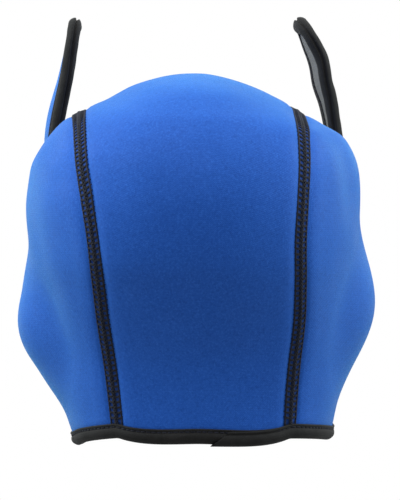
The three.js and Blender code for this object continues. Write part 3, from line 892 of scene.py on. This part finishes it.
def seam_bed():
    """The blue cloth at the bottom of a seam, coloured darker than the neoprene as painted shade of the
    threads over it.
    """
    material, tree, shader = new_material("seam_bed", (0.012, 0.05, 0.2), 0.85, 0.05, 0.02, 0.5)
    place = object_place(tree)
    soft = remap(tree, noise(tree, place, 500, 3, 0.6), 0.3, 0.7)
    # Painted shade: both colours are the blue darkened as if in the shadow of the seam's threads.
    colour = mix_colours(tree, soft, (0.01, 0.034, 0.15), (0.026, 0.07, 0.28))
    tree.links.new(colour, shader.inputs["Base Color"])
    bump(tree, shader, noise(tree, place, 1800, 2), 0.00012, 0.6)
    return material


BLUE = blue_neoprene()
GREY = grey_lining()
TAPE = black_tape()
THREAD = black_thread()
BED = seam_bed()


# The flat sizes of the five cuts in metres, the flat areas in square metres, and the way each is held
CUTS = {
    "centre_panel": ((0.112, 0.335), 0.0336, "stretched"),
    "side_panel_left": ((0.146, 0.174), 0.0209, "stretched"),
    "side_panel_right": ((0.146, 0.174), 0.0208, "stretched"),
    "chin_tab_left": ((0.064, 0.183), 0.0080, "folded"),
    "chin_tab_right": ((0.064, 0.183), 0.0080, "folded"),
}
# The side panel that a chin tab stands on
STANDS_ON = {"chin_tab_left": ["side_panel_left"], "chin_tab_right": ["side_panel_right"]}


# Building the sheets
def build_sheets():
    for name, (outer, inner) in SHEETS.items():
        middle = (outer + inner) / 2
        piece = sheet_object(f"{name}_cloth", outer, inner, [BLUE, GREY], flat_places(name, middle))
        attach(piece, "root")
        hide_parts(name)
        flat, area, held = CUTS[name]
        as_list(STANDS_ON.get(name, []))


# Flatlock seams
def surface_tree():
    """A search tree of the sheets' outer faces, in millimetres."""
    faces = []
    for outer, _ in SHEETS.values():
        rows, columns = outer.shape[:2]
        index = np.arange(rows * columns).reshape(rows, columns)
        faces.append((outer.reshape(-1, 3), grid_quads(index).tolist()))
    points, quads = joined(faces)
    return BVHTree.FromPolygons([Vector(p) for p in points], quads)


def bar_faces(ring):
    """Faces of a bar from its rings of points, closed at both ends."""
    steps, around = ring.shape[:2]
    base = (np.arange(steps - 1) * around)[:, None]
    k = np.arange(around)[None, :]
    n = (k + 1) % around
    quads = np.stack([base + k, base + n, base + n + around, base + k + around], -1).reshape(-1, 4)
    start = list(range(around))[::-1]
    end = [(steps - 1) * around + i for i in range(around)]
    return ring.reshape(-1, 3), [*quads.tolist(), start, end]


# A seam's bed as a closed section: places across and above the line
BED_PROFILE = np.array([
    (-3.6, -1.3), (-3.55, -0.45), (-2.9, -0.2), (-1.2, -0.1), (0, -0.05),
    (1.2, -0.1), (2.9, -0.2), (3.55, -0.45), (3.6, -1.3), (0, -1.4),
])
# Thread radii of the chains and the braid, of the rungs, and of the stitches' outer ends
CHAIN_THREAD, RUNG_THREAD, NUB_THREAD = 0.36, 0.33, 0.27
# From one point of a long thread to the next
THREAD_STEP = 0.62


def flatlock(name, line, up, plain=False):
    """A flatlock seam on a line: a bed, a chain on each side, rungs and a braid in the middle.
    The plain one, for the inside, has a bed of lining and a thread less in its braid."""
    across = unit(np.cross(unit(np.gradient(line, axis=0)), up))
    places = lengths_along(line)
    length = places[-1]
    pitches = int(length / STITCH_PITCH)
    pitch = length / pitches

    def strand(s, a, n, radius, sides=6):
        """Threads through places a across and n above the line at lengths s of it."""
        middle, side, above = (read_line(s, places, values) for values in (line, across, up))
        path = middle + side * a[..., None] + above * n[..., None]
        return tubes(path, radius, np.broadcast_to(up[0], path.shape), sides)

    bed = line[:, None] + across[:, None] * BED_PROFILE[:, :1] + up[:, None] * BED_PROFILE[:, 1:]
    parts = [bar_faces(bed)]
    bed_faces = len(parts[0][1])

    fine = np.linspace(0.2, length - 0.2, int(length / THREAD_STEP))[None]
    for edge in (-1, 1):
        for turn in (0, math.pi):
            phase = 2 * math.pi * fine / (pitch / 1.5) + turn
            a = edge * (3.15 + 0.2 * np.sin(phase))
            parts.append(strand(fine, a, -0.18 + 0.16 * np.cos(phase), CHAIN_THREAD))
    strands = 2 if plain else 3
    for k in range(strands):
        phase = 2 * math.pi * (fine / (pitch * 2) + k / strands)
        parts.append(strand(fine, 0.85 * np.sin(phase), 0.22 + 0.2 * np.cos(2 * phase), CHAIN_THREAD))

    starts = ((np.arange(pitches - 1) + 0.4) * pitch)[:, None]
    reach = np.linspace(0, 1, 4)
    nub = np.linspace(0, 1, 3)
    for edge in (-1, 1):
        for shift in (0.0, 0.46):
            s = starts + shift + 0.45 * reach + rng.uniform(-0.08, 0.08, starts.shape)
            a = edge * (3.05 + (0.6 - 3.05) * reach) + 0 * s
            n = -0.12 + 0.22 * np.sin(math.pi * reach * 0.7) + 0 * s
            parts.append(strand(s, a, n, RUNG_THREAD, 5))
        s = starts - 0.35 * nub + rng.uniform(-0.12, 0.12, starts.shape)
        a = edge * (3.2 + 0.75 * nub) + 0 * s
        n = -0.1 - 0.55 * nub ** 2 + 0 * s
        parts.append(strand(s, a, n, NUB_THREAD, 5))

    points, faces = joined(parts)
    slots = np.ones(len(faces))
    slots[:bed_faces] = 0
    obj = make_object(name, points, faces, [GREY if plain else BED, THREAD], slots)
    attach(obj, "root")


# How far from a root seam's middle the sheets at both sides of it are felt
FEELER = 3.4


def laid_on_sheets(line, up):
    """A seam's line and its normals, level with the sheets at both sides of it."""
    tree = surface_tree()
    across = unit(np.cross(unit(np.gradient(line, axis=0)), up))
    right, left = (
        rolling(np.array([tree.find_nearest(Vector(p))[0] for p in line + across * reach]), 2)
        for reach in (FEELER, -FEELER)
    )
    middle = (right + left) / 2
    along = unit(np.gradient(middle, axis=0))
    return middle, unit(np.cross(unit(right - left), along))


# How deep the long seams lie in the outer and the inner face, and how high the root seams stand
OUTER_DEPTH, INNER_DEPTH, ROOT_HEIGHT = 0.1, 0.2, 0.4


def build_seams():
    keep = slice(2, -2)
    clear_of_corners = slice(5, -6)
    for name in SIDES:
        skin, normal = outer_skin(seam_points(name, np.linspace(0, 1, 240)))
        outer = (skin + normal * -OUTER_DEPTH)[keep]
        inner = (skin - normal * (WALL - INNER_DEPTH))[keep]
        flatlock(f"flatlock_seam_{name}", outer, normal[keep])
        flatlock(f"inner_seam_{name}", inner, -normal[keep], plain=True)
        root = evenly(EDGES[name][1], 60)[clear_of_corners]
        middle, up = laid_on_sheets(*outer_skin(root))
        flatlock(f"flatlock_root_{name}", middle + up * ROOT_HEIGHT, up)


# Tape
# The tape's outer half section, from its lip on the cloth round to the edge: places inward of
# the path and outward of the sheet's middle
TAPE_PROFILE = np.array([
    (5.75, 2.0), (6.0, 2.45), (5.95, 2.8), (5.6, 3.05), (5.15, 3.0), (4.8, 2.72), (4.45, 2.6), (4.1, 2.72),
    (3.7, 3.08), (3.1, 3.36), (2.3, 3.5), (1.4, 3.42), (0.6, 3.12), (-0.1, 2.6), (-0.7, 2.0), (-1.1, 1.4),
    (-1.32, 0.9), (-1.3, 0.5), (-1.3, 0.2), (-1.3, 0.0),
])
CREASE = np.exp(-(TAPE_PROFILE[:, 1] / 0.6) ** 2)
# The side of the tape that lies on the cloth
LINING_PROFILE = np.array([(-0.05, 0), (-0.05, 1.5), (2.8, 1.75), (5.5, 1.85)])
# Places inward at which the tape follows the cloth, and the most that it gives way
REACHES = np.array([0.0, 2.0, 4.0, 6.0, 7.0])
MOST_LIFT = 2.5


def tape_lift():
    """How far the cloth rises off the tape's own plane, at each station and reach inward."""
    tree = surface_tree()
    lift = np.zeros((len(PATH), len(REACHES)))
    for j, reach in enumerate(REACHES[1:], 1):
        half = WALL / 2 - PRESS_DEPTH * under_tape(reach)
        base = PATH + INWARD * reach
        for i in range(len(PATH)):
            found = tree.find_nearest(Vector(base[i] + OUTWARD[i] * half))[0]
            lift[i, j] = (np.array(found) - base[i]) @ OUTWARD[i] - half
    lift = np.clip(lift, -MOST_LIFT, MOST_LIFT)
    return np.concatenate([rolling(lift[:BROW_START], 2), rolling(lift[BROW_START:], 2)])


TAPE_LIFT = tape_lift()


def lift_at(stations, reach):
    rows = TAPE_LIFT[stations]
    reach = np.clip(reach, 0, REACHES[-1])
    return np.stack([np.interp(reach[k], REACHES, rows[k]) for k in range(len(rows))])


def tape_points(stations, c, n, along=0.0):
    """Points of the tape at whole stations of the path: c inward and n outward of its middle."""
    c = np.broadcast_to(c, (len(stations), np.shape(c)[-1])).astype(float)
    n = np.broadcast_to(n, c.shape) + lift_at(stations, c)
    path, inward, outward, way = (v[stations][:, None] for v in (PATH, INWARD, OUTWARD, ALONG))
    shift = np.broadcast_to(along, c.shape)[..., None]
    return path + inward * c[..., None] + outward * n[..., None] + way * shift


def tape_ring(stations, crease, swell=0.0, drop=0.0, along=None, flat=0.0):
    """Rings of the tape's whole section: out over the outer lip, round the edge and back inside."""
    wobble = 0.10 * np.sin(stations * 0.31) + 0.07 * np.sin(stations * 0.83 + 1)
    c = TAPE_PROFILE[None, :, 0] + crease[:, None] * CREASE[None]
    n = TAPE_PROFILE[None, :, 1] + 0 * c
    roll = np.exp(-((TAPE_PROFILE[:, 0] - 2.0) / 1.6) ** 2)
    n = n + roll[None] * wobble[:, None] * 0.8
    n = n + np.reshape(swell, (-1, 1)) * smooth(n, 0, 2.5)
    n = n - np.maximum(n - 1.8, 0) * 0.7 * np.reshape(flat, (-1, 1))
    c = c - np.reshape(drop, (-1, 1))
    lining_c, lining_n = np.repeat(LINING_PROFILE.T[:, None], len(stations), axis=1)
    ring_c = np.concatenate([c, c[:, -2::-1], lining_c[:, :0:-1], lining_c], axis=1)
    ring_n = np.concatenate([n, -n[:, -2::-1], -lining_n[:, :0:-1], lining_n], axis=1)
    return tape_points(stations, ring_c, ring_n, 0.0 if along is None else along(ring_c))


# The tape's stitches lie in its groove: place inward, height, how much lower where the tape is
# pressed flat, length, how far a stitch's middle stands up, and the thread's radius
GROOVE_PLACE, GROOVE_HEIGHT, FLAT_DROP = 4.45, 2.62, 0.57
DASH_LENGTH, DASH_BOW, DASH_THREAD = 1.95, 0.12, 0.34


def tape_stitches(first, last, flat):
    """Short dashes of thread in the groove of the tape, outside and inside."""
    stations = np.arange(first, last + 1)
    place = stations - first
    count = int((last - first) * PATH_STEP / STITCH_PITCH)
    dash = np.linspace(0, 1, 4)
    s = (np.arange(count)[:, None] + 0.25) / count * (last - first) + dash * DASH_LENGTH / PATH_STEP
    s = np.minimum(s, last - first - 0.01)

    away = read_line(s, place, OUTWARD[stations])
    height = GROOVE_HEIGHT - FLAT_DROP * flat[:, None]
    out = []
    for face in (1, -1):
        rows = tape_points(stations, np.array([GROOVE_PLACE]), face * height)[:, 0]
        path = read_line(s, place, rows) + away * face * (DASH_BOW * np.sin(dash * math.pi))[:, None]
        out.append(tubes(path, DASH_THREAD, away, 5))
    return out


def flatness(stations):
    """The tape is pressed flat on the front edge of a tab, and stands full on the rear edge."""
    return smooth(INWARD[stations, 1], 0.2, 0.8) * smooth(PATH[stations, 2], -30, 10)


# How deep a tab's tape is creased along its fold, and over how many stations the crease sets in
CREASE_DEPTH, CREASE_FADE = 1.15, 14


def build_tape(name, first, last, node_name, creased):
    stations = np.arange(first, last + 1)
    fade = np.clip(np.minimum(stations - first, last - stations) / CREASE_FADE, 0, 1)
    crease = CREASE_DEPTH * fade if creased else 0 * fade
    flat = flatness(stations) if creased else 0 * fade
    parts = [bar_faces(tape_ring(stations, crease, flat=flat))]
    cloth_faces = len(parts[0][1])
    parts += tape_stitches(first, last, flat)
    points, faces = joined(parts)
    slots = np.ones(len(faces))
    slots[:cloth_faces] = 0
    obj = make_object(name, points, faces, [TAPE, THREAD], slots)
    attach(obj, "root")
    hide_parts(node_name)


def build_tapes():
    left_end, right_start = HEM_MARKS[0], HEM_MARKS[3]
    build_tape("brow_tape", BROW_START, len(PATH) - 1, "brow_binding", False)
    build_tape("tab_tape_left", 0, left_end, "tab_binding_left", True)
    build_tape("hem_tape", left_end, right_start, "hem_binding", False)
    build_tape("tab_tape_right", right_start, BROW_START - 1, "tab_binding_right", True)


LAP_START_X = -8.0
LAP_LENGTH = 52.0


def build_lap():
    """The cut end of the hem tape, lapped over its beginning just right of the middle."""
    hem = np.arange(HEM_MARKS[1], HEM_MARKS[2])
    first = hem[np.argmin(np.abs(PATH[hem, 0] - LAP_START_X))]
    count = int(LAP_LENGTH / PATH_STEP)
    stations = np.arange(first, first + count)
    gone = np.linspace(0, 1, count)
    swell = 0.75 * (1 - smooth(gone, 0.1, 1)) - 0.1 * smooth(gone, 0.8, 1)
    drop = 1.1 * (1 - gone) ** 1.6

    def slant(c):
        """The cut runs aslant: the further inward, the further along the tape."""
        near = np.exp(-np.arange(count) / 6)[:, None]
        return near * 1.15 * (c + 1.35)

    rings = tape_ring(stations, np.zeros(count), swell, drop, slant)
    obj = make_object("hem_tape_lap", *bar_faces(rings), [TAPE])
    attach(obj, "root")


build_sheets()
build_seams()
build_tapes()
build_lap()


# Floor, lights and camera
FLOOR_RADIUS, FLOOR_HEIGHT, FLOOR_THICKNESS, FLOOR_SIDES = 600, -194.0, 8, 96


def build_floor():
    turn = np.arange(FLOOR_SIDES) * 2 * math.pi / FLOOR_SIDES
    height = np.full(FLOOR_SIDES, FLOOR_HEIGHT)
    top = np.stack([FLOOR_RADIUS * np.cos(turn), FLOOR_RADIUS * np.sin(turn), height], 1)
    points, faces = bar_faces(np.stack([top - (0, 0, FLOOR_THICKNESS), top]))
    paint = new_material("floor_paint", (0.3, 0.3, 0.3), 0.8, 0.1)[0]
    make_object("floor", points, faces, [paint], smooth_faces=False)


def area_light(name, place, aim, size, power, colour=(1, 1, 1)):
    """A rectangular lamp, placed in metres in the frame."""
    light = bpy.data.lights.new(name, "AREA")
    light.shape = "RECTANGLE"
    light.size, light.size_y = size
    light.energy = power
    light.color = colour
    obj = bpy.data.objects.new(name, light)
    obj.location = place
    obj.rotation_euler = (Vector(aim) - Vector(place)).to_track_quat("-Z", "Y").to_euler()
    bpy.context.scene.collection.objects.link(obj)


def build_world():
    """White all round, full where it is seen past the hood and weak behind the camera."""
    world = bpy.data.worlds.new("studio")
    bpy.context.scene.world = world
    world.use_nodes = True
    tree = world.node_tree
    sky = tree.nodes["Background"]
    sky.inputs["Color"].default_value = (1, 1, 1, 1)
    way = tree.nodes.new("ShaderNodeTexCoord").outputs["Generated"]
    parts = add_node(tree, "ShaderNodeSeparateXYZ", Vector=way)
    tree.links.new(remap(tree, parts.outputs["Y"], 0.15, 0.8, 1.0, 0.08), sky.inputs["Strength"])


# Behind the hood, a little below its middle, in metres in the frame
CAMERA_PLACE = (-0.0015, 1.2, -0.0835)
CAMERA_LENS = 172.8


def build_camera():
    data = bpy.data.cameras.new("camera")
    data.lens = CAMERA_LENS
    data.clip_start, data.clip_end = 0.05, 20
    obj = bpy.data.objects.new("camera", data)
    obj.location = CAMERA_PLACE
    obj.rotation_euler = (math.radians(90), 0, math.radians(180))
    bpy.context.scene.collection.objects.link(obj)
    bpy.context.scene.camera = obj


build_floor()
build_world()
area_light("left_side", (0.75, -0.05, 0.4), (0, 0, -0.04), (0.5, 0.6), 7.2, (0.88, 1, 1))
area_light("right_side", (-0.75, -0.05, 0.35), (0, 0, -0.04), (0.5, 0.6), 5.7, (0.88, 1, 1))
area_light("above", (0.1, 0.1, 0.9), (0, 0, -0.06), (0.5, 0.5), 1.6)
area_light("back_above", (0.15, 0.88, 0.92), (0, 0, 0), (0.5, 0.4), 8.9)
build_camera()
bpy.context.scene.view_settings.view_transform = "Standard"
